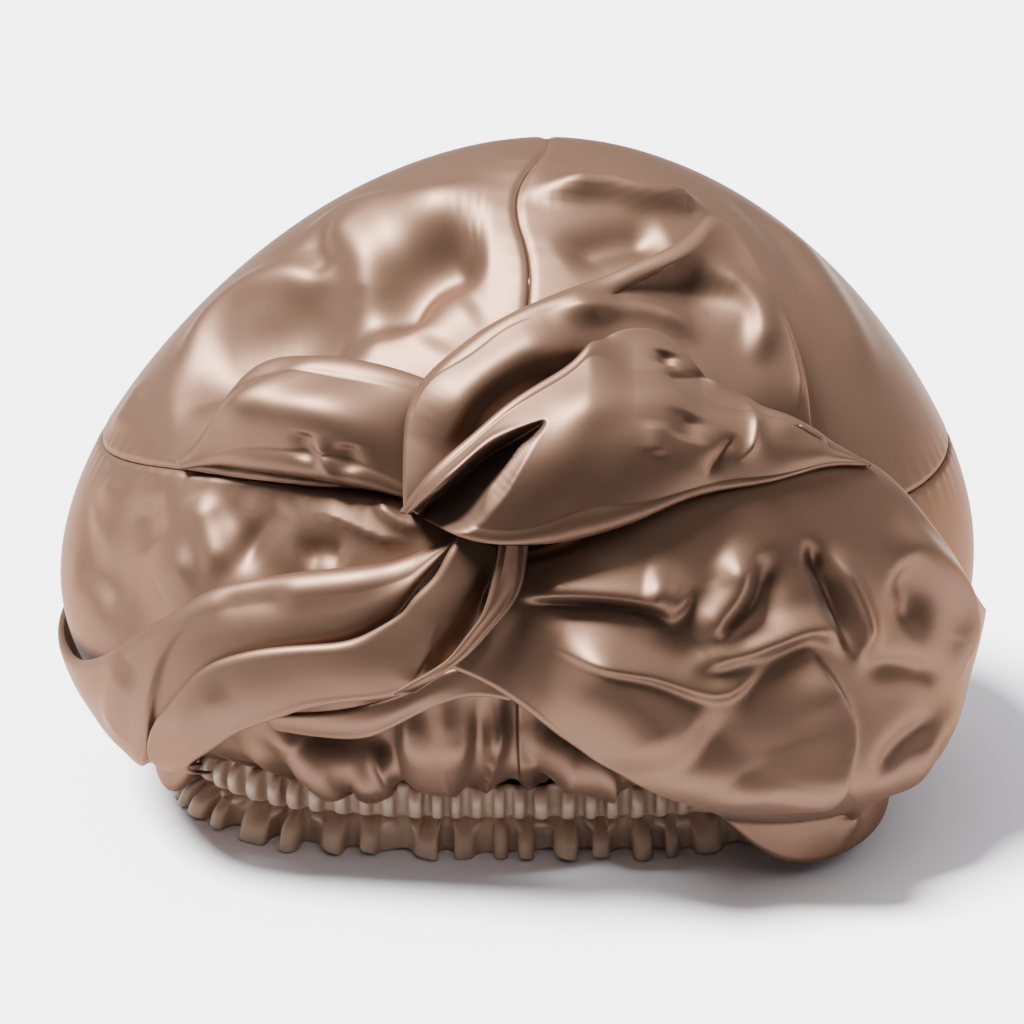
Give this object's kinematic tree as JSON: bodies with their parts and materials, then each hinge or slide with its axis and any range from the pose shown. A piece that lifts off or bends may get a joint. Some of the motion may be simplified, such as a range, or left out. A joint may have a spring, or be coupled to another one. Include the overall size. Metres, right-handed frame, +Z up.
{
  "type": "sleep bonnet",
  "caption": "Puffed satin sleep bonnet standing on its gathered elastic edge, with a seamed crown and cloth wraps that twist together at the front.",
  "frame": {"origin": "centre of the bounding box, at the floor on which the elastic edge stands", "axes": "+X to the right as seen from the front, -Y towards the front with the twist, +Z up to the crown"},
  "size_m": [0.303, 0.2476, 0.211],
  "materials": {
    "satin": "satin",
    "hem_satin": "satin"
  },
  "bodies": {
    "root": {"crown_left": "satin", "crown_right": "satin", "side_left": "satin", "side_right": "satin", "elastic_hem": "hem_satin", "crown_lobe": "satin", "arch_fold": "satin", "twist_band": "satin", "twist_puff": "satin", "flap_right": "satin", "lapel_left": "satin", "strap_broad": "satin", "strap_narrow": "satin", "inner_fold": "satin"}
  },
  "joints": []
}
